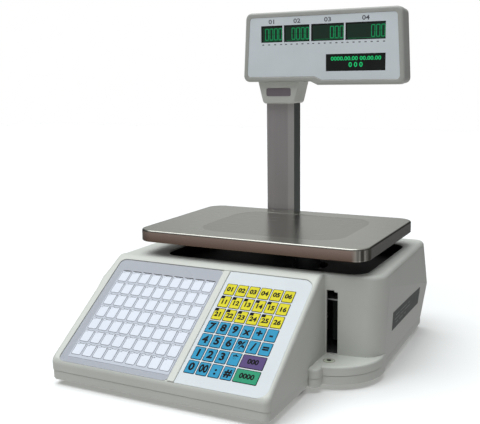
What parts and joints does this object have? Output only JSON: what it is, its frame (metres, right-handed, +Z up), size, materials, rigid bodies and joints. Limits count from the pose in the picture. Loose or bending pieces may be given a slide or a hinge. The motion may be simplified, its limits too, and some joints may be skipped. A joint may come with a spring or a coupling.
{
  "type": "retail price scale",
  "caption": "Counter price scale with a wide weighing platter, sloping keypad console, side label printer and a display head on a column.",
  "frame": {"origin": "centre of the footprint on the counter, at the bottom of the feet", "axes": "+X to the operator's right, +Y to the rear (towards the display column), +Z up"},
  "size_m": [0.399, 0.454, 0.498],
  "materials": {
    "grey_plastic": "warm light grey moulded ABS with a fine texture",
    "steel": "zinc-plated screws and pins",
    "zinc": "pressed galvanised sheet",
    "cast_alu": "die-cast, shot-blasted",
    "cell_alu": "machined and clear anodised",
    "rubber": "black rubber",
    "stainless": "satin stainless sheet, polished by use",
    "pcb": "green circuit board with black parts",
    "membrane": "dark switch membrane",
    "overlay": "printed glossy film with coloured keys",
    "card": "printed paper card",
    "film": "clear cover film",
    "level_beige": "beige ring",
    "vial": "level vial with yellow-green liquid",
    "brass": "machined brass",
    "black_plastic": "black moulded plastic",
    "socket_metal": "plated socket shell",
    "anodised": "matt anodised extrusion",
    "plate_mauve": "mauve-grey inlay",
    "panel_blue": "pale blue-grey printed panel",
    "window": "smoked window over green digits",
    "paper": "label paper",
    "gear_nylon": "natural nylon",
    "head_green": "green lever moulding with thermal edge",
    "spring_steel": "spring wire",
    "plate_dark": "dark blank label"
  },
  "bodies": {
    "housing": {"lower_housing": "grey_plastic", "upper_housing": "grey_plastic", "platter_well": "grey_plastic", "rear_plate": "grey_plastic", "housing_screws": "steel", "chassis_plate": "zinc", "cell_bracket": "cast_alu", "load_cell": "cell_alu", "cell_screws": "steel", "main_board": "pcb", "power_supply": "zinc", "keypad_membrane": "membrane", "function_overlay": "overlay", "preset_card": "card", "preset_film": "film", "divider_strip": "grey_plastic", "level_ring": "level_beige", "level_vial": "vial", "seal_screw": "brass", "power_inlet": "black_plastic", "switch_body": "black_plastic", "network_socket": "socket_metal", "column": "anodised", "column_screws": "steel", "neck_front_shell": "grey_plastic", "neck_rear_shell": "grey_plastic", "neck_plate": "plate_mauve", "head_front_shell": "grey_plastic", "head_rear_shell": "grey_plastic", "front_panel": "panel_blue", "rear_panel": "panel_blue", "front_windows": "window", "rear_windows": "window", "front_display_board": "pcb", "rear_display_board": "pcb", "head_screws": "steel", "printer_frame": "zinc", "web_guides": "steel", "stepper_motor": "zinc", "takeup_belt": "rubber", "head_spring": "spring_steel"},
    "spider": {"spider": "cast_alu", "spider_pads": "rubber"},
    "platter": {"platter": "stainless"},
    "printer_door": {"printer_door": "grey_plastic", "name_plate": "plate_dark"},
    "supply": {"turntable": "black_plastic", "label_roll": "paper"},
    "platen": {"platen_shaft": "steel", "platen_roller": "rubber", "platen_gear": "gear_nylon"},
    "idler": {"idler_gear": "gear_nylon"},
    "pinion": {"motor_pinion": "brass"},
    "takeup": {"takeup_spool": "black_plastic"},
    "print_head": {"print_head": "head_green"},
    "foot_front_left": {"foot_front_left": "rubber"},
    "foot_front_right": {"foot_front_right": "rubber"},
    "foot_rear_left": {"foot_rear_left": "rubber"},
    "foot_rear_right": {"foot_rear_right": "rubber"},
    "switch_rocker": {"switch_rocker": "black_plastic"}
  },
  "joints": [
    {"name": "weigh_travel", "type": "slide", "parent": "housing", "child": "spider", "axis": [0, 0, 1], "range_m": [-0.0005, 0], "stiffness_N_per_m": 60000, "deforming": ["load_cell"]},
    {"name": "platter_lift", "type": "slide", "parent": "spider", "child": "platter", "axis": [0, 0, 1], "range_m": [0, 0.12]},
    {"name": "door_hinge", "type": "hinge", "parent": "housing", "child": "printer_door", "pos_m": [0.18962, -0.01304, 0.026], "axis": [-0.023, 0.9997, 0], "range_deg": [0, 80]},
    {"name": "supply_spin", "type": "hinge", "parent": "housing", "child": "supply", "pos_m": [0.1475, 0.07596, 0.05], "axis": [0, 0, 1], "continuous": true},
    {"name": "platen_spin", "type": "hinge", "parent": "housing", "child": "platen", "pos_m": [0.1395, -0.02004, 0.05], "axis": [0, 0, 1], "continuous": true},
    {"name": "idler_spin", "type": "hinge", "parent": "housing", "child": "idler", "pos_m": [0.16372, -0.00409, 0.026], "axis": [0, 0, 1], "continuous": true},
    {"name": "pinion_spin", "type": "hinge", "parent": "housing", "child": "pinion", "pos_m": [0.1575, 0.01596, 0.026], "axis": [0, 0, 1], "continuous": true},
    {"name": "takeup_spin", "type": "hinge", "parent": "housing", "child": "takeup", "pos_m": [0.1155, 0.12796, 0.05], "axis": [0, 0, 1], "continuous": true},
    {"name": "head_open", "type": "hinge", "parent": "housing", "child": "print_head", "pos_m": [0.1075, 0.01396, 0.05], "axis": [0, 0, -1], "range_deg": [0, 14], "stiffness_Nm_per_rad": 0.8, "springref_deg": -5.73, "deforming": ["head_spring"]},
    {"name": "foot_front_left_screw", "type": "slide", "parent": "housing", "child": "foot_front_left", "axis": [0, 0, 1], "range_m": [-0.006, 0]},
    {"name": "foot_front_right_screw", "type": "slide", "parent": "housing", "child": "foot_front_right", "axis": [0, 0, 1], "range_m": [-0.006, 0]},
    {"name": "foot_rear_left_screw", "type": "slide", "parent": "housing", "child": "foot_rear_left", "axis": [0, 0, 1], "range_m": [-0.006, 0]},
    {"name": "foot_rear_right_screw", "type": "slide", "parent": "housing", "child": "foot_rear_right", "axis": [0, 0, 1], "range_m": [-0.006, 0]},
    {"name": "power_rocker", "type": "hinge", "parent": "housing", "child": "switch_rocker", "pos_m": [-0.1185, 0.211, 0.062], "axis": [1, 0, 0], "range_deg": [0, 16]}
  ],
  "couplings": [
    {"joint": "idler_spin", "follows": "platen_spin", "ratio": -0.93333},
    {"joint": "pinion_spin", "follows": "platen_spin", "ratio": 2.3333},
    {"joint": "takeup_spin", "follows": "platen_spin", "ratio": 1}
  ]
}
